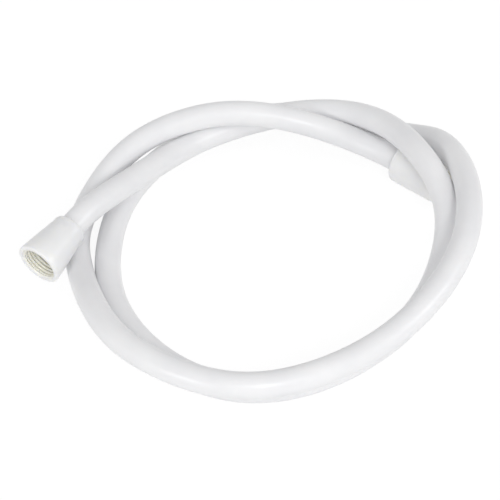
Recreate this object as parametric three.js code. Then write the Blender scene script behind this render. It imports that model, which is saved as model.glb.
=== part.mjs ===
// A white PVC shower hose that lies in a loose coil of about two and a half turns.
// Each end carries a union nut that turns freely on the hose: a conical one and a plain round one. Inside
// each nut, the hose is crimped between a brass tail and an aluminium ferrule, and a rubber washer lies on
// the tail's flange. The hose is 1.6 m long from nut to nut.
// Millimetres, +Z up. The origin is under the middle of the whole thing, on the surface that it lies on.

import * as THREE from "three";

// Clearance that neighbouring pieces keep
const GAP = 0.3;

// Hose
const HOSE_DIAMETER = 14;
const HOSE_BORE = 9;
const HOSE_SIDES = 12;
const HOSE_STEP = 19.8;

// Socket, alike in both nuts: a G 1/2 female thread, left smooth at its minor diameter
const THREAD_BORE = 18.8;
const THREAD_DEPTH = 9.5;
const MOUTH_CHAMFER = 1;
const MOUTH_ROUNDING = 1;
const NUT_BACK_WALL = 2.8;
const NUT_SIDES = 40;

// Conical nut
const CONE_NUT = {
  length: 29,
  mouthDiameter: 25.4,
  backDiameter: 19,
  shoulder: 3.6,
};

// Plain nut
const PLAIN_NUT = {
  length: 32,
  mouthDiameter: 23.4,
  backDiameter: 23.4,
  shoulder: 1.2,
};

// Washer, tail and ferrule, alike at both ends
const WASHER_DIAMETER = 18;
const WASHER_HOLE = 10;
const WASHER_THICKNESS = 2;
const FLANGE_DIAMETER = 17.8;
const FLANGE_THICKNESS = 1.9;
const TAIL_BORE = 6.2;
const TAIL_LENGTH = 12;
const BARB_COUNT = 3;
const BARB_LENGTH = 2.4;
const BARB_PITCH = 3.2;
const BARB_HEIGHT = 0.3;
const FERRULE_WALL = 0.55;
const INNER_SIDES = 28;

// Places along a nut's axis, measured from its mouth plane into the hose
const FLANGE_FRONT = THREAD_DEPTH + WASHER_THICKNESS + GAP;
const FLANGE_BACK = FLANGE_FRONT + FLANGE_THICKNESS;
const SEAT = FLANGE_BACK + GAP;
const HOSE_END = FLANGE_BACK + GAP;
const FERRULE_START = SEAT + GAP;
const SHORTER_NUT = Math.min(CONE_NUT.length, PLAIN_NUT.length);
const FERRULE_END = SHORTER_NUT - NUT_BACK_WALL - GAP;

// Radii that follow from the hose. A faceted round is narrowest at the middle of its facets.
const NUT_FACET = Math.cos(Math.PI / NUT_SIDES);
const INNER_FACET = Math.cos(Math.PI / INNER_SIDES);
const HOSE_FACET = Math.cos(Math.PI / HOSE_SIDES);
const FERRULE_INNER = (HOSE_DIAMETER / 2 + GAP) / INNER_FACET;
const FERRULE_OUTER = FERRULE_INNER + FERRULE_WALL;
const CAVITY_RADIUS = (FERRULE_OUTER + GAP) / NUT_FACET;
const COLLAR_RADIUS = (HOSE_DIAMETER / 2 + 1.5 * GAP) / NUT_FACET;
const BARB_RADIUS = (HOSE_BORE / 2) * HOSE_FACET - GAP;
const SHANK_RADIUS = BARB_RADIUS - BARB_HEIGHT;

// Middle of the box round the coil and both nuts, as the places below give it. It is taken off all of them,
// so that it becomes the origin.
const MIDDLE = new THREE.Vector3(-12.3, 8, 0);

// Where each nut lies: the centre of its mouth, and the way from the mouth to the back in degrees, turned
// from +X towards +Y and tilted up. The conical nut's back rests on a strand of the coil.
const CONE_END = { mouth: [-124.2, -19.8, 19.1], heading: 55, tilt: 11.5 };
const PLAIN_END = { mouth: [95, 53.6, 11.7], heading: 138, tilt: 0 };

// How far the hose goes straight on behind a nut
const LEAD = 18;

// Points that guide the hose, from the conical nut to the plain one. It runs clockwise seen from above: over
// its own left side, along the top, over the plain nut, and down to the surface. Then it goes round once
// more, under and outside the first turn, and climbs onto it at the right and in front. At the left it
// passes under the conical nut, and crosses over the first turn on its way to the plain nut.
const GUIDES = [
  [-70, 55, 21], [-45, 91, 15], [1, 116, 14], [38, 112, 20], [64, 91, 28], [82, 48, 37],
  [97, 21, 22], [85, -26, 7], [61, -63, 7], [23, -94, 7], [-17, -103, 7], [-54, -86, 7],
  [-82, -49, 7], [-91, -9, 7], [-87, 40, 7], [-71, 74, 7], [-47, 104, 7], [-14, 123, 7],
  [25, 126, 7], [60, 108, 7], [85, 90, 17], [95, 71, 29], [105, 29, 37], [101, -20, 34],
  [75, -61, 24], [41, -92, 20], [-4, -112, 19], [-42, -105, 18], [-82, -79, 20], [-97, -42, 18],
  [-103, -13, 7], [-109, 18, 7], [-99, 51, 11], [-78, 76, 28], [-30, 99, 32], [18, 102, 20],
];

// The hose's centre line: straight inside each nut, and between them a cubic B-spline drawn by its guides.
class HoseRoute extends THREE.Curve {
  constructor(start, guides, end) {
    super();
    this.start = start;
    this.guides = guides;
    this.end = end;
    this.arcLengthDivisions = 1600;
  }

  // A guide past either end mirrors the one inside it, so that the curve starts on its first guide.
  guide(index) {
    const last = this.guides.length - 1;
    if (index < 0) return this.guides[0].clone().multiplyScalar(2).sub(this.guides[1]);
    if (index > last) return this.guides[last].clone().multiplyScalar(2).sub(this.guides[last - 1]);
    return this.guides[index];
  }

  getPoint(t, target = new THREE.Vector3()) {
    const spans = this.guides.length - 1;
    const along = t * (spans + 2) - 1;
    if (along <= 0) return target.lerpVectors(this.start, this.guides[0], along + 1);
    if (along >= spans) return target.lerpVectors(this.guides[spans], this.end, along - spans);
    const span = Math.floor(along);
    const u = along - span;
    const weights = [
      (1 - u) ** 3,
      3 * u ** 3 - 6 * u ** 2 + 4,
      -3 * u ** 3 + 3 * u ** 2 + 3 * u + 1,
      u ** 3,
    ];
    target.set(0, 0, 0);
    weights.forEach((weight, k) => target.addScaledVector(this.guide(span - 1 + k), weight / 6));
    return target;
  }
}

// The way from a nut's mouth to its back, as a unit vector.
function axisOf({ heading, tilt }) {
  const turn = THREE.MathUtils.degToRad(heading);
  const rise = THREE.MathUtils.degToRad(tilt);
  return new THREE.Vector3(Math.cos(turn) * Math.cos(rise), Math.sin(turn) * Math.cos(rise), Math.sin(rise));
}

// A point on a nut's axis, some way in from the centre of its mouth.
function alongAxis(end, distance) {
  return new THREE.Vector3(...end.mouth).sub(MIDDLE).addScaledVector(axisOf(end), distance);
}

// A solid turned round +Z from an outline of (radius, height) points.
function turned(outline, sides) {
  const geometry = new THREE.LatheGeometry([...outline, outline[0]], sides);
  return geometry.rotateX(Math.PI / 2);
}

// A flat-ended tube round +Z.
function sleeve(innerRadius, outerRadius, from, to, sides) {
  const outline = new THREE.Path();
  outline.moveTo(innerRadius, from);
  outline.lineTo(outerRadius, from);
  outline.lineTo(outerRadius, to);
  outline.lineTo(innerRadius, to);
  return turned(outline.getPoints(), sides);
}

// A union nut, open at its mouth at height 0. From there inwards it has the thread, the seat that pulls on
// the tail's flange, the room for the ferrule, and a collar round the hose.
function nutGeometry({ length, mouthDiameter, backDiameter, shoulder }) {
  const mouth = mouthDiameter / 2;
  const back = backDiameter / 2;
  const thread = THREAD_BORE / 2;
  const backFlat = Math.max(back - shoulder, COLLAR_RADIUS + GAP);
  const outline = new THREE.Path();
  outline.moveTo(thread + MOUTH_CHAMFER, 0);
  outline.lineTo(mouth - MOUTH_ROUNDING, 0);
  outline.quadraticCurveTo(mouth, 0, mouth, MOUTH_ROUNDING);
  outline.lineTo(back, length - shoulder);
  outline.quadraticCurveTo(back, length, backFlat, length);
  outline.lineTo(COLLAR_RADIUS, length);
  outline.lineTo(COLLAR_RADIUS, length - NUT_BACK_WALL);
  outline.lineTo(CAVITY_RADIUS, length - NUT_BACK_WALL);
  outline.lineTo(CAVITY_RADIUS, SEAT);
  outline.lineTo(thread, SEAT);
  outline.lineTo(thread, MOUTH_CHAMFER);
  return turned(outline.getPoints(4), NUT_SIDES);
}

// A tail: a flange that the washer lies on, and a barbed shank pressed into the hose.
function tailGeometry() {
  const bore = TAIL_BORE / 2;
  const flange = FLANGE_DIAMETER / 2;
  const outline = new THREE.Path();
  outline.moveTo(bore, FLANGE_FRONT);
  outline.lineTo(flange, FLANGE_FRONT);
  outline.lineTo(flange, FLANGE_BACK);
  outline.lineTo(SHANK_RADIUS, FLANGE_BACK);
  for (let barb = 0; barb < BARB_COUNT; barb += 1) {
    const foot = FLANGE_BACK + TAIL_LENGTH - BARB_LENGTH - BARB_PITCH * (BARB_COUNT - 1 - barb);
    outline.lineTo(SHANK_RADIUS, foot);
    outline.lineTo(BARB_RADIUS, foot);
    outline.lineTo(SHANK_RADIUS, foot + BARB_LENGTH);
  }
  outline.lineTo(bore, FLANGE_BACK + TAIL_LENGTH);
  return turned(outline.getPoints(), INNER_SIDES);
}

function washerGeometry() {
  return sleeve(WASHER_HOLE / 2, WASHER_DIAMETER / 2, THREAD_DEPTH, THREAD_DEPTH + WASHER_THICKNESS, INNER_SIDES);
}

function ferruleGeometry() {
  return sleeve(FERRULE_INNER, FERRULE_OUTER, FERRULE_START, FERRULE_END, INNER_SIDES);
}

// Corners of the hose's round section.
function sectionCorners(radius) {
  const corners = [];
  for (let side = 0; side < HOSE_SIDES; side += 1) {
    const angle = (2 * Math.PI * side) / HOSE_SIDES;
    corners.push(new THREE.Vector2(radius * Math.cos(angle), radius * Math.sin(angle)));
  }
  return corners;
}

// The hose: an open-ended tube along its route.
function hoseGeometry() {
  const firstGuides = [CONE_NUT.length, CONE_NUT.length + LEAD].map((distance) => alongAxis(CONE_END, distance));
  const lastGuides = [PLAIN_NUT.length + LEAD, PLAIN_NUT.length].map((distance) => alongAxis(PLAIN_END, distance));
  const freeGuides = GUIDES.map((point) => new THREE.Vector3(...point).sub(MIDDLE));
  const guides = [...firstGuides, ...freeGuides, ...lastGuides];
  const route = new HoseRoute(alongAxis(CONE_END, HOSE_END), guides, alongAxis(PLAIN_END, HOSE_END));
  const section = new THREE.Shape(sectionCorners(HOSE_DIAMETER / 2));
  section.holes.push(new THREE.Path(sectionCorners(HOSE_BORE / 2)));
  const steps = Math.round(route.getLength() / HOSE_STEP);
  return new THREE.ExtrudeGeometry(section, { steps, extrudePath: route });
}

function plastic(color) {
  return new THREE.MeshStandardMaterial({ color, roughness: 0.35, metalness: 0 });
}

function piece(name, geometry, material) {
  const mesh = new THREE.Mesh(geometry, material);
  mesh.name = name;
  return mesh;
}

// Everything at one end that is turned round the hose's axis, laid where that end lies.
function endFitting(prefix, nut, end) {
  const brass = new THREE.MeshStandardMaterial({ color: 0xc9a75a, roughness: 0.35, metalness: 1 });
  const aluminium = new THREE.MeshStandardMaterial({ color: 0xc8cacc, roughness: 0.4, metalness: 1 });
  const rubber = new THREE.MeshStandardMaterial({ color: 0x2b2b2b, roughness: 0.8, metalness: 0 });
  const fitting = new THREE.Group();
  fitting.add(piece(`${prefix}_nut`, nutGeometry(nut), plastic(0xf2f2f1)));
  fitting.add(piece(`${prefix}_washer`, washerGeometry(), rubber));
  fitting.add(piece(`${prefix}_tail`, tailGeometry(), brass));
  fitting.add(piece(`${prefix}_ferrule`, ferruleGeometry(), aluminium));
  fitting.position.copy(alongAxis(end, 0));
  fitting.quaternion.setFromUnitVectors(new THREE.Vector3(0, 0, 1), axisOf(end));
  return fitting;
}

const showerHose = new THREE.Group();
showerHose.add(piece("hose", hoseGeometry(), plastic(0xe9e9ec)));
showerHose.add(endFitting("cone", CONE_NUT, CONE_END));
showerHose.add(endFitting("plain", PLAIN_NUT, PLAIN_END));

export default showerHose;
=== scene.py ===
# Shower hose of smooth white PVC in a loose coil, with a union nut on each end.
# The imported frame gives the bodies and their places. The hose, the nuts and what they hold get their round
# surfaces here, the nuts also their threads, and every surface its finish. Metres, +Z up.

import math

import bpy
import numpy as np
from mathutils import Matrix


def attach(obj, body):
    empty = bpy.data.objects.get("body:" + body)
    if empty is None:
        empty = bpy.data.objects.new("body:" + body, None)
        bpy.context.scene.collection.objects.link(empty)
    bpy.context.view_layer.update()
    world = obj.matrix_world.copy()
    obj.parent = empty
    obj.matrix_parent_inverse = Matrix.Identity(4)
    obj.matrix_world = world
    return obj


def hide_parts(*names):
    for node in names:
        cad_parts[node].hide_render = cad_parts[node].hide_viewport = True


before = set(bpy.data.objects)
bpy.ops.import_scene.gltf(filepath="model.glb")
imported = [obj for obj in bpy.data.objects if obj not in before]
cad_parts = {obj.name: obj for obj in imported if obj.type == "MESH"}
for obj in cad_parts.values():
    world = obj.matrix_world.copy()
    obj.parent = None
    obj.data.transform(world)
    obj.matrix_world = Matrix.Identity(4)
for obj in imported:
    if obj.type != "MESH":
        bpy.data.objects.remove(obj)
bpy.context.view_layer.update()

MM = 0.001

# Hose. Its skin swells and shrinks by a few hundredths of a millimetre, in two long waves along the way.
HOSE_RADIUS = 7.0 * MM
HOSE_BORE_RADIUS = 4.5 * MM
HOSE_STEP = 2.5 * MM
HOSE_SIDES = 48
SWELL_HEIGHT = 0.03 * MM
SWELL_REACH = 31 * MM
SWELL_LONG_REACH = 83 * MM
SWELL_SHIFT = 1.3

# Union nuts, alike but for their outsides. Depths run from the mouth along the axis into the hose.
# The groove is drawn at half of a real thread's depth, because the thread looks faint in the photo.
# A nut's side stops 1.2 times its shoulder's size short of the back, so that the shoulder shades smoothly.
THREAD_RADIUS = 9.4 * MM
THREAD_PITCH = 1.814 * MM
THREAD_GROOVE = 0.55 * MM
THREAD_DEPTH = 9.5 * MM
ROWS_PER_PITCH = 14
SIDE_ROWS = 10
SIDE_STOPS = 1.2
MOUTH_CHAMFER = 1.0 * MM
MOUTH_ROUNDING = 1.0 * MM
BACK_WALL = 2.8 * MM
COLLAR_RADIUS = 7.47 * MM
CAVITY_RADIUS = 8.4 * MM
NUT_SIDES = 128
CONE_NUT = {"length": 29.0 * MM, "mouth": 12.7 * MM, "back": 9.5 * MM, "shoulder": 3.6 * MM}
PLAIN_NUT = {"length": 32.0 * MM, "mouth": 11.7 * MM, "back": 11.7 * MM, "shoulder": 1.2 * MM}

# Washer, tail and ferrule, and how their edges are rounded
GAP = 0.3 * MM
WASHER_RADIUS = 9.0 * MM
WASHER_HOLE = 5.0 * MM
WASHER_THICKNESS = 2.0 * MM
FLANGE_RADIUS = 8.9 * MM
FLANGE_THICKNESS = 1.9 * MM
TAIL_BORE = 3.1 * MM
TAIL_LENGTH = 12.0 * MM
BARB_COUNT = 3
BARB_LENGTH = 2.4 * MM
BARB_PITCH = 3.2 * MM
BARB_HEIGHT = 0.3 * MM
BARB_RADIUS = 4.0 * MM
FERRULE_INNER = 7.35 * MM
FERRULE_WALL = 0.5 * MM
EDGE = 0.25 * MM
BRASS_EDGE = 0.08 * MM
FERRULE_EDGE = 0.1 * MM
SHARP_EDGE = math.radians(40)

# How deep in the nut each of them lies
FLANGE_FRONT = THREAD_DEPTH + WASHER_THICKNESS + GAP
FLANGE_BACK = FLANGE_FRONT + FLANGE_THICKNESS
SEAT = FLANGE_BACK + GAP
FERRULE_START = SEAT + GAP
FERRULE_END = min(CONE_NUT["length"], PLAIN_NUT["length"]) - BACK_WALL - GAP

# The hose's route: the guides of its centre line, in millimetres, and the point that becomes the origin.
# Each nut has its mouth's place, and the heading and tilt, in degrees, of its axis into the hose.
MIDDLE = (-12.3, 8, 0)
CONE_END = {"mouth": (-124.2, -19.8, 19.1), "heading": 55, "tilt": 11.5}
PLAIN_END = {"mouth": (95, 53.6, 11.7), "heading": 138, "tilt": 0}
LEAD = 18.0 * MM
POINTS_PER_SPAN = 60
GUIDES = [
    (-70, 55, 21), (-45, 91, 15), (1, 116, 14), (38, 112, 20), (64, 91, 28), (82, 48, 37),
    (97, 21, 22), (85, -26, 7), (61, -63, 7), (23, -94, 7), (-17, -103, 7), (-54, -86, 7),
    (-82, -49, 7), (-91, -9, 7), (-87, 40, 7), (-71, 74, 7), (-47, 104, 7), (-14, 123, 7),
    (25, 126, 7), (60, 108, 7), (85, 90, 17), (95, 71, 29), (105, 29, 37), (101, -20, 34),
    (75, -61, 24), (41, -92, 20), (-4, -112, 19), (-42, -105, 18), (-82, -79, 20), (-97, -42, 18),
    (-103, -13, 7), (-109, 18, 7), (-99, 51, 11), (-78, 76, 28), (-30, 99, 32), (18, 102, 20),
]

# Camera: the photo is taken from about 1.1 m away, looking down at 41.5 degrees
VIEW_ELEVATION = math.radians(41.5)
VIEW_DISTANCE = 1.1
VIEW_TARGET = (-1.0 * MM, -8.0 * MM, 12.0 * MM)
SENSOR_WIDTH = 36.0
FOCAL_LENGTH = 148.75
NEAREST_SEEN = 0.05

# Floor: how far it reaches each way, and the glow that makes it white to the camera, with its share of the
# floor's look. The rest of the look is the paper itself, with the hose's shadow on it.
FLOOR_REACH = 2.0
FLOOR_GLOW = 1.06
FLOOR_GLOW_SHARE = 0.86

# Light: strongest from the front right, and evenly weaker from there to the back left. Each softbox has its
# azimuth and elevation in degrees and its power in watts.
WORLD_LIGHT = 0.63
WORLD_SLOPE = 0.12
BRIGHT_SIDE = (0.605, -0.756, -0.252)
SOFTBOX_DISTANCE = 3.2
SOFTBOX_SIZE = 0.7
SOFTBOXES = [
    ("Key_by_the_camera", 12, 38, 21.0),
    ("Low_left_softbox", -40, 18, 15.0),
    ("Low_right_softbox", 80, 28, 13.0),
]


def linear(hex_colour):
    """Turns an sRGB hex colour into linear red, green and blue, and adds an alpha of 1."""
    values = np.array([int(hex_colour[start:start + 2], 16) for start in (0, 2, 4)]) / 255
    low = values / 12.92
    high = ((values + 0.055) / 1.055) ** 2.4
    return (*np.where(values <= 0.04045, low, high).tolist(), 1.0)


def node(tree, kind, links=None, **settings):
    """Adds a node. Settings name its sockets or its properties, and links name the sockets that feed it."""
    made = tree.nodes.new(kind)
    for name, value in settings.items():
        socket = made.inputs.get(name.replace("_", " "))
        if socket is not None:
            socket.default_value = value
        else:
            setattr(made, name, value)
    for name, source in (links or {}).items():
        tree.links.new(source, made.inputs[name])
    return made


def axis_of(end):
    """Unit vector from a nut's mouth to its back."""
    turn, rise = math.radians(end["heading"]), math.radians(end["tilt"])
    return np.array((math.cos(turn) * math.cos(rise), math.sin(turn) * math.cos(rise), math.sin(rise)))


def along_axis(end, distance):
    """Point on a nut's axis, some way in from its mouth."""
    return (np.array(end["mouth"]) - MIDDLE) * MM + axis_of(end) * distance


def spline(guides, per_span):
    """Uniform cubic B-spline: each point is four neighbouring guides, weighted by the cubic basis.

    A guide mirrored past either end makes the line start and end on its first and last guide.
    """
    padded = np.vstack((2 * guides[0] - guides[1], guides, 2 * guides[-1] - guides[-2]))
    u = np.arange(per_span) / per_span
    basis = ((1 - u) ** 3, 3 * u**3 - 6 * u**2 + 4, -3 * u**3 + 3 * u**2 + 3 * u + 1, u**3)
    weights = np.stack(basis, axis=1) / 6
    spans = np.lib.stride_tricks.sliding_window_view(padded, 4, axis=0)
    points = np.einsum("uk,sik->sui", weights, spans).reshape(-1, 3)
    return np.vstack((points, guides[-1]))


def evenly_spaced(points, step):
    """The same line with its points an even step apart, and their distances along it."""
    reach = np.concatenate(([0], np.cumsum(np.linalg.norm(np.diff(points, axis=0), axis=1))))
    along = np.linspace(0, reach[-1], round(reach[-1] / step) + 1)
    return np.stack([np.interp(along, reach, points[:, k]) for k in range(3)], axis=1), along


def hose_line():
    """Centre line of the hose: straight inside each nut, and the spline between them."""
    first = [along_axis(CONE_END, CONE_NUT["length"] + lead) for lead in (0, LEAD)]
    last = [along_axis(PLAIN_END, PLAIN_NUT["length"] + lead) for lead in (LEAD, 0)]
    free = (np.array(GUIDES) - MIDDLE) * MM
    curve = spline(np.vstack((first, free, last)), POINTS_PER_SPAN)
    whole = np.vstack((along_axis(CONE_END, SEAT), curve, along_axis(PLAIN_END, SEAT)))
    return evenly_spaced(whole, HOSE_STEP)


def cross_frames(tangents):
    """Two unit vectors across each tangent: one level, one upright, right-handed with the tangent."""
    level = np.cross((0.0, 0.0, 1.0), tangents)
    level /= np.linalg.norm(level, axis=-1, keepdims=True)
    return level, np.cross(tangents, level)


def ring_piece(name, grid, material):
    """Mesh of a closed ring: a grid of points that joins up with itself both ways, in quads."""
    rows, columns = grid.shape[:2]
    index = np.arange(rows * columns).reshape(rows, columns)
    down = np.roll(index, -1, axis=0)
    quads = np.stack((index, np.roll(index, -1, axis=1), np.roll(down, -1, axis=1), down), axis=-1)
    mesh = bpy.data.meshes.new(name)
    mesh.from_pydata(grid.reshape(-1, 3), [], quads.reshape(-1, 4).tolist())
    mesh.polygons.foreach_set("use_smooth", np.ones(rows * columns, dtype=bool))
    mesh.set_sharp_from_angle(angle=SHARP_EDGE)
    mesh.materials.append(material)
    piece = bpy.data.objects.new(name, mesh)
    bpy.context.scene.collection.objects.link(piece)
    return piece


def point_values(piece, name, values):
    """Keeps a number or a vector for each point of a piece, for its material to read."""
    kind, field = ("FLOAT_VECTOR", "vector") if values.ndim == 3 else ("FLOAT", "value")
    attribute = piece.data.attributes.new(name, kind, "POINT")
    attribute.data.foreach_set(field, values.astype(np.float32).ravel())


def hose_piece(line, along, material):
    """The hose: a round section carried along the centre line, out over its skin and back through its bore.

    A point lies at line(s) + r (cos(a) level(s) + sin(a) upright(s)). The skin's r is the hose's radius plus
    a swell of height sin(s / reach) sin(s / long reach + shift), as on an extruded tube.
    Each point keeps its place on the straightened hose, for the patterns that follow the skin.
    """
    tangents = np.gradient(line, axis=0)
    tangents /= np.linalg.norm(tangents, axis=1, keepdims=True)
    level, upright = cross_frames(tangents)
    angle = np.linspace(0, 2 * math.pi, HOSE_SIDES, endpoint=False)
    swell = SWELL_HEIGHT * np.sin(along / SWELL_REACH) * np.sin(along / SWELL_LONG_REACH + SWELL_SHIFT)
    across = np.cos(angle)[None, :, None] * level[:, None] + np.sin(angle)[None, :, None] * upright[:, None]
    skin = line[:, None] + (HOSE_RADIUS + swell)[:, None, None] * across
    bore = (line[:, None] + HOSE_BORE_RADIUS * across)[::-1]
    piece = ring_piece("hose_tube", np.concatenate((skin, bore)), material)
    there = np.concatenate((along, along[::-1]))
    skin_place = np.empty((len(there), HOSE_SIDES, 3))
    skin_place[..., :2] = np.stack((np.cos(angle), np.sin(angle)), axis=1) * HOSE_RADIUS
    skin_place[..., 2] = there[:, None]
    point_values(piece, "skin_place", skin_place)
    return piece


def corner(start, knee, end, count):
    """Points of a rounded corner from start to end: the quadratic curve that the knee pulls outwards."""
    t = np.linspace(0, 1, count)[:, None]
    start, knee, end = (np.array(point) for point in (start, knee, end))
    return (1 - t) ** 2 * start + 2 * t * (1 - t) * knee + t**2 * end


def rounded(points, size):
    """Closed outline with each of its corners cut back by the same size and rounded."""
    points = np.array(points, dtype=float)
    before = np.roll(points, 1, axis=0) - points
    after = np.roll(points, -1, axis=0) - points
    cut_before = points + before / np.linalg.norm(before, axis=1, keepdims=True) * size
    cut_after = points + after / np.linalg.norm(after, axis=1, keepdims=True) * size
    return np.vstack([corner(*three, count=4) for three in zip(cut_before, points, cut_after)])


def turned_grid(end, radius, depth):
    """Grid turned round an end's axis. Depth is a number for each row, and radius too, or for each point.

    A point lies at mouth + depth axis + radius (cos(a) level + sin(a) upright).
    """
    angle = np.linspace(0, 2 * math.pi, NUT_SIDES, endpoint=False)
    level, upright = cross_frames(axis_of(end))
    across = np.cos(angle)[:, None] * level + np.sin(angle)[:, None] * upright
    radius = np.broadcast_to(radius if radius.ndim == 2 else radius[:, None], (len(radius), NUT_SIDES))
    depth = np.broadcast_to(depth[:, None], radius.shape)
    return along_axis(end, 0) + depth[..., None] * axis_of(end) + radius[..., None] * across


def turned_piece(name, end, outline, material):
    """A piece turned round an end's axis from a closed outline of (radius, depth) points."""
    return ring_piece(name, turned_grid(end, outline[:, 0], outline[:, 1]), material)


def nut_piece(name, end, nut, material):
    """A union nut: its outline turned round the axis, with the thread cut into the bore.

    In the bore the radius grows by the groove's depth times a raised cosine of depth / pitch - angle / turn,
    which is a right-hand thread with round crests and roots. It fades out at the chamfer and at the washer.
    Each point keeps a 1 in the bore and a 0 elsewhere, where the material paints light: a lighter ivory than
    the outside.
    """
    mouth, back, length, shoulder = nut["mouth"], nut["back"], nut["length"], nut["shoulder"]
    back_flat = max(back - shoulder, COLLAR_RADIUS + GAP)
    side_end = length - SIDE_STOPS * shoulder
    chamfer_radius = THREAD_RADIUS + MOUTH_CHAMFER
    bore_depth = np.arange(SEAT - EDGE, MOUTH_CHAMFER, -THREAD_PITCH / ROWS_PER_PITCH)
    # Chamfer, mouth's rim, side, shoulder, collar, cavity, seat of the tail, and the bore back to the chamfer
    outline = np.vstack((
        corner((chamfer_radius, EDGE), (chamfer_radius, 0), (chamfer_radius + EDGE, 0), 3),
        corner((mouth - MOUTH_ROUNDING, 0), (mouth, 0), (mouth, MOUTH_ROUNDING), 8),
        np.linspace((mouth, 2 * MOUTH_ROUNDING), (back, side_end), SIDE_ROWS),
        corner((back, length - shoulder), (back, length), (back_flat, length), 10),
        corner((COLLAR_RADIUS + EDGE, length), (COLLAR_RADIUS, length), (COLLAR_RADIUS, length - EDGE), 4),
        [(COLLAR_RADIUS, length - BACK_WALL), (CAVITY_RADIUS, length - BACK_WALL), (CAVITY_RADIUS, SEAT)],
        corner((THREAD_RADIUS - EDGE, SEAT), (THREAD_RADIUS, SEAT), (THREAD_RADIUS, SEAT - EDGE), 3)[:2],
        np.stack((np.full_like(bore_depth, THREAD_RADIUS), bore_depth), axis=1),
    ))
    radius, depth = outline.T
    in_bore = np.concatenate((np.zeros(len(outline) - len(bore_depth)), np.ones(len(bore_depth))))
    turn = np.arange(NUT_SIDES) / NUT_SIDES
    wave = 0.5 + 0.5 * np.cos(2 * math.pi * (depth[:, None] / THREAD_PITCH - turn))
    start = np.clip((depth - MOUTH_CHAMFER) / THREAD_PITCH * 2, 0, 1)
    stop = np.clip((THREAD_DEPTH - GAP - depth) / THREAD_PITCH, 0, 1)
    groove = THREAD_GROOVE * wave * (in_bore * start * stop)[:, None]
    piece = ring_piece(name, turned_grid(end, radius[:, None] + groove, depth), material)
    point_values(piece, "inside", in_bore[:, None] * np.ones(NUT_SIDES))
    return piece


def tail_outline():
    """Outline of a tail: the flange, and a shank with barbs that point back towards it."""
    shank = BARB_RADIUS - BARB_HEIGHT
    tip = FLANGE_BACK + TAIL_LENGTH
    points = [(TAIL_BORE, FLANGE_FRONT), (FLANGE_RADIUS, FLANGE_FRONT), (FLANGE_RADIUS, FLANGE_BACK),
              (shank, FLANGE_BACK)]
    for barb in range(BARB_COUNT):
        foot = tip - BARB_LENGTH - BARB_PITCH * (BARB_COUNT - 1 - barb)
        points += [(shank, foot), (BARB_RADIUS, foot), (shank, foot + BARB_LENGTH)]
    points[-1] = (shank, tip)
    points.append((TAIL_BORE, tip))
    return rounded(points, BRASS_EDGE)


def sleeve_outline(inner, outer, start, end, edge):
    """Outline of a plain sleeve with rounded edges."""
    return rounded([(inner, start), (outer, start), (outer, end), (inner, end)], edge)


def new_material(name):
    """An empty node material with its output, and a Principled shader linked to it."""
    material = bpy.data.materials.new(name)
    material.use_nodes = True
    tree = material.node_tree
    tree.nodes.clear()
    shader = node(tree, "ShaderNodeBsdfPrincipled")
    node(tree, "ShaderNodeOutputMaterial", {"Surface": shader.outputs["BSDF"]})
    return material, tree, shader


def hose_pvc():
    """Soft white PVC, extruded: nearly opaque, a little cool, with a satin gloss and faint draw lines."""
    material, tree, shader = new_material("Extruded_white_PVC")
    place = node(tree, "ShaderNodeAttribute", attribute_name="skin_place").outputs["Vector"]
    # Clouds of about 22 mm: the plasticised PVC is never quite even in tone
    cloud = node(tree, "ShaderNodeTexNoise", {"Vector": place}, Scale=45.0, Detail=3.0, Roughness=0.55)
    tone = node(tree, "ShaderNodeValToRGB", {"Fac": cloud.outputs["Fac"]})
    tone.color_ramp.elements[0].position = 0.3
    tone.color_ramp.elements[0].color = linear("ebebed")
    tone.color_ramp.elements[1].position = 0.7
    tone.color_ramp.elements[1].color = linear("f1f1f2")
    tree.links.new(tone.outputs["Color"], shader.inputs["Base Color"])
    # Grain from 2.4 mm down to 0.15 mm: the gloss varies a little with it
    grain = node(tree, "ShaderNodeTexNoise", {"Vector": place}, Scale=420.0, Detail=4.0, Roughness=0.6)
    gloss = node(tree, "ShaderNodeMapRange", {"Value": grain.outputs["Fac"]}, To_Min=0.29, To_Max=0.37)
    tree.links.new(gloss.outputs["Result"], shader.inputs["Roughness"])
    # Draw lines of the die: about half a millimetre apart round the hose, and drawn out a hundredfold
    stretched = node(tree, "ShaderNodeMapping", {"Vector": place}, Scale=(1.0, 1.0, 0.01)).outputs["Vector"]
    lines = node(tree, "ShaderNodeTexNoise", {"Vector": stretched}, Scale=2000.0, Detail=2.0)
    drawn = node(tree, "ShaderNodeBump", {"Height": lines.outputs["Fac"]}, Strength=0.12, Distance=0.02 * MM)
    skin = node(tree, "ShaderNodeBump", {"Height": cloud.outputs["Fac"], "Normal": drawn.outputs["Normal"]},
                Strength=0.25, Distance=0.6 * MM)
    tree.links.new(skin.outputs["Normal"], shader.inputs["Normal"])
    shader.inputs["IOR"].default_value = 1.53
    shader.inputs["Subsurface Weight"].default_value = 0.12
    shader.inputs["Subsurface Radius"].default_value = (1.0, 0.9, 0.85)
    shader.inputs["Subsurface Scale"].default_value = 1.2 * MM
    return material


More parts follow.
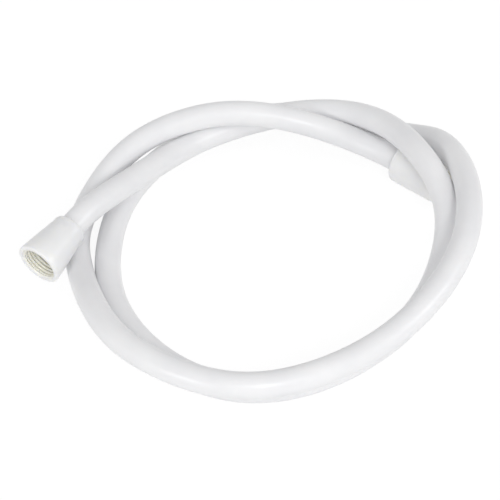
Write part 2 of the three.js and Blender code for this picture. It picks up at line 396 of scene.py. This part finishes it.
def nut_abs():
    """White ABS, moulded: hard, smooth and a little glossier than the hose.

    It lets some light in, which softens its shadows. Its bore is painted a lighter ivory than the outside,
    which is painted light in the bore's shade.
    """
    material, tree, shader = new_material("Moulded_white_ABS")
    place = node(tree, "ShaderNodeTexCoord").outputs["Object"]
    inside = node(tree, "ShaderNodeAttribute", attribute_name="inside").outputs["Fac"]
    # Clouds of about 17 mm, from the way the melt fills the mould, in tone and in gloss
    cloud = node(tree, "ShaderNodeTexNoise", {"Vector": place}, Scale=60.0, Detail=2.0)
    tone = node(tree, "ShaderNodeValToRGB", {"Fac": cloud.outputs["Fac"]})
    tone.color_ramp.elements[0].position = 0.3
    tone.color_ramp.elements[0].color = linear("ececec")
    tone.color_ramp.elements[1].position = 0.7
    tone.color_ramp.elements[1].color = linear("f1f1f1")
    # Painted light: the bore is coloured a lighter, warmer ivory than the outside, to lift the shade inside
    # it
    colour = node(tree, "ShaderNodeMix", data_type="RGBA")
    tree.links.new(inside, colour.inputs["Factor"])
    tree.links.new(tone.outputs["Color"], colour.inputs["A"])
    colour.inputs["B"].default_value = linear("fcfaee")
    tree.links.new(colour.outputs["Result"], shader.inputs["Base Color"])
    gloss = node(tree, "ShaderNodeMapRange", {"Value": cloud.outputs["Fac"]}, To_Min=0.26, To_Max=0.34)
    tree.links.new(gloss.outputs["Result"], shader.inputs["Roughness"])
    # Spark-eroded mould grain, about 0.4 mm
    grain = node(tree, "ShaderNodeTexNoise", {"Vector": place}, Scale=2400.0, Detail=3.0)
    skin = node(tree, "ShaderNodeBump", {"Height": grain.outputs["Fac"]}, Strength=0.08, Distance=0.02 * MM)
    tree.links.new(skin.outputs["Normal"], shader.inputs["Normal"])
    shader.inputs["IOR"].default_value = 1.54
    shader.inputs["Subsurface Weight"].default_value = 0.5
    shader.inputs["Subsurface Radius"].default_value = (1.0, 0.95, 0.8)
    shader.inputs["Subsurface Scale"].default_value = 3.0 * MM
    return material


def washer_rubber():
    """Nitrile rubber, moulded: nearly black and matt, with a fine bloom of about a millimetre."""
    material, tree, shader = new_material("Moulded_nitrile_rubber")
    place = node(tree, "ShaderNodeTexCoord").outputs["Object"]
    bloom = node(tree, "ShaderNodeTexNoise", {"Vector": place}, Scale=900.0, Detail=4.0)
    tone = node(tree, "ShaderNodeValToRGB", {"Fac": bloom.outputs["Fac"]})
    tone.color_ramp.elements[0].color = linear("232323")
    tone.color_ramp.elements[1].color = linear("3a3a3a")
    tree.links.new(tone.outputs["Color"], shader.inputs["Base Color"])
    skin = node(tree, "ShaderNodeBump", {"Height": bloom.outputs["Fac"]}, Strength=0.2, Distance=0.05 * MM)
    tree.links.new(skin.outputs["Normal"], shader.inputs["Normal"])
    shader.inputs["Roughness"].default_value = 0.75
    return material


def tail_brass():
    """Brass, turned on a lathe: warm yellow metal, with a light patina in patches of about 4 mm."""
    material, tree, shader = new_material("Turned_brass")
    place = node(tree, "ShaderNodeTexCoord").outputs["Object"]
    patina = node(tree, "ShaderNodeTexNoise", {"Vector": place}, Scale=250.0, Detail=4.0)
    tone = node(tree, "ShaderNodeValToRGB", {"Fac": patina.outputs["Fac"]})
    tone.color_ramp.elements[0].color = linear("b8954a")
    tone.color_ramp.elements[1].color = linear("d8bd78")
    tree.links.new(tone.outputs["Color"], shader.inputs["Base Color"])
    gloss = node(tree, "ShaderNodeMapRange", {"Value": patina.outputs["Fac"]}, To_Min=0.22, To_Max=0.4)
    tree.links.new(gloss.outputs["Result"], shader.inputs["Roughness"])
    shader.inputs["Metallic"].default_value = 1.0
    return material


def ferrule_aluminium():
    """Aluminium, drawn: pale grey metal with a dull sheen that varies in patches of 2.5 mm."""
    material, tree, shader = new_material("Drawn_aluminium")
    place = node(tree, "ShaderNodeTexCoord").outputs["Object"]
    patches = node(tree, "ShaderNodeTexNoise", {"Vector": place}, Scale=400.0, Detail=3.0)
    gloss = node(tree, "ShaderNodeMapRange", {"Value": patches.outputs["Fac"]}, To_Min=0.35, To_Max=0.5)
    tree.links.new(gloss.outputs["Result"], shader.inputs["Roughness"])
    shader.inputs["Base Color"].default_value = linear("d0d2d4")
    shader.inputs["Metallic"].default_value = 1.0
    return material


def end_fitting(prefix, end, nut, nut_body, materials):
    """Everything at one end: the nut, and the washer, tail and ferrule that it holds."""
    washer = sleeve_outline(WASHER_HOLE, WASHER_RADIUS, THREAD_DEPTH, THREAD_DEPTH + WASHER_THICKNESS, EDGE)
    ferrule = sleeve_outline(FERRULE_INNER, FERRULE_INNER + FERRULE_WALL, FERRULE_START, FERRULE_END,
                             FERRULE_EDGE)
    pieces = {
        "nut": nut_piece(f"{prefix}_nut_moulding", end, nut, materials["nut"]),
        "washer": turned_piece(f"{prefix}_washer_ring", end, washer, materials["washer"]),
        "tail": turned_piece(f"{prefix}_tail_turning", end, tail_outline(), materials["tail"]),
        "ferrule": turned_piece(f"{prefix}_ferrule_sleeve", end, ferrule, materials["ferrule"]),
    }
    for part, piece in pieces.items():
        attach(piece, nut_body if part == "nut" else "hose")
        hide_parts(f"{prefix}_{part}")
    return list(pieces.values())


def seen_not_lit(tree):
    """A 1 for what the camera sees, also in gloss or through glass, and a 0 for what gives light."""
    path = node(tree, "ShaderNodeLightPath")
    seen = node(tree, "ShaderNodeMath", {0: path.outputs["Is Camera Ray"], 1: path.outputs["Is Glossy Ray"]})
    through = path.outputs["Is Transmission Ray"]
    return node(tree, "ShaderNodeMath", {0: seen.outputs[0], 1: through}, use_clamp=True).outputs[0]


def floor_material():
    """Matt white paper that the camera sees as white, with the hose's shadow on it."""
    material, tree, shader = new_material("White_paper")
    shader.inputs["Base Color"].default_value = linear("f4f4f4")
    shader.inputs["Roughness"].default_value = 0.9
    share = node(tree, "ShaderNodeMath", {0: seen_not_lit(tree)}, operation="MULTIPLY")
    share.inputs[1].default_value = FLOOR_GLOW_SHARE
    glow = node(tree, "ShaderNodeEmission", Color=(1, 1, 1, 1), Strength=FLOOR_GLOW)
    looks = {0: share.outputs[0], 1: shader.outputs["BSDF"], 2: glow.outputs["Emission"]}
    mixed = node(tree, "ShaderNodeMixShader", looks)
    output = next(item for item in tree.nodes if item.type == "OUTPUT_MATERIAL")
    tree.links.new(mixed.outputs["Shader"], output.inputs["Surface"])
    return material


def floor():
    """A plain square floor at the height of the surface that the hose lies on."""
    mesh = bpy.data.meshes.new("paper_floor")
    corners = [(x * FLOOR_REACH, y * FLOOR_REACH, 0) for x, y in ((-1, -1), (1, -1), (1, 1), (-1, 1))]
    mesh.from_pydata(corners, [], [(0, 1, 2, 3)])
    mesh.materials.append(floor_material())
    piece = bpy.data.objects.new("paper_floor", mesh)
    bpy.context.scene.collection.objects.link(piece)


def world_light():
    """Light from all round, seen as white. Its level follows how far a direction turns to the bright side."""
    world = bpy.data.worlds.new("Soft_light")
    bpy.context.scene.world = world
    world.use_nodes = True
    tree = world.node_tree
    tree.nodes.clear()
    direction = node(tree, "ShaderNodeTexCoord").outputs["Generated"]
    side = node(tree, "ShaderNodeVectorMath", {0: direction}, operation="DOT_PRODUCT")
    side.inputs[1].default_value = BRIGHT_SIDE
    level = node(tree, "ShaderNodeMapRange", {"Value": side.outputs["Value"]}, From_Min=-1.0,
                 To_Min=WORLD_LIGHT - WORLD_SLOPE, To_Max=WORLD_LIGHT + WORLD_SLOPE)
    light = node(tree, "ShaderNodeBackground", {"Strength": level.outputs["Result"]}, Color=(1, 1, 1, 1))
    white = node(tree, "ShaderNodeBackground", Color=(1, 1, 1, 1), Strength=1.0)
    looks = {0: seen_not_lit(tree), 1: light.outputs["Background"], 2: white.outputs["Background"]}
    mixed = node(tree, "ShaderNodeMixShader", looks)
    node(tree, "ShaderNodeOutputWorld", {"Surface": mixed.outputs["Shader"]})


def aim(thing, place, target):
    """Puts a lamp or camera at a place and points it at the target."""
    direction = np.array(target) - np.array(place)
    thing.location = place
    flat = math.hypot(direction[0], direction[1])
    thing.rotation_euler = (math.atan2(flat, -direction[2]), 0, math.atan2(-direction[0], direction[1]))


def softbox(name, azimuth, elevation, power):
    """A square area lamp. Azimuth 0 stands where the viewer does, and turns to the right."""
    lamp = bpy.data.lights.new(name, "AREA")
    lamp.shape = "SQUARE"
    lamp.size = SOFTBOX_SIZE
    lamp.energy = power
    thing = bpy.data.objects.new(name, lamp)
    bpy.context.scene.collection.objects.link(thing)
    turn, rise = math.radians(azimuth), math.radians(elevation)
    out = SOFTBOX_DISTANCE * math.cos(rise)
    place = (out * math.sin(turn), -out * math.cos(turn), SOFTBOX_DISTANCE * math.sin(rise))
    aim(thing, place, (0, 0, 0))


def camera():
    """The photo's viewpoint."""
    lens = bpy.data.cameras.new("Camera")
    lens.sensor_width = SENSOR_WIDTH
    lens.lens = FOCAL_LENGTH
    lens.clip_start = NEAREST_SEEN
    thing = bpy.data.objects.new("Camera", lens)
    bpy.context.scene.collection.objects.link(thing)
    back = VIEW_DISTANCE * math.cos(VIEW_ELEVATION)
    rise = VIEW_DISTANCE * math.sin(VIEW_ELEVATION)
    target = np.array(VIEW_TARGET)
    aim(thing, tuple(target + (0, -back, rise)), tuple(target))
    bpy.context.scene.camera = thing


camera()

line, along = hose_line()
hose = hose_piece(line, along, hose_pvc())
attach(hose, "hose")
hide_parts("hose")

finishes = {"nut": nut_abs(), "washer": washer_rubber(), "tail": tail_brass(), "ferrule": ferrule_aluminium()}
fittings = end_fitting("cone", CONE_END, CONE_NUT, "cone_nut", finishes)
fittings += end_fitting("plain", PLAIN_END, PLAIN_NUT, "plain_nut", finishes)

floor()
world_light()
for lamp in SOFTBOXES:
    softbox(*lamp)

bpy.context.scene.view_settings.view_transform = "Standard"
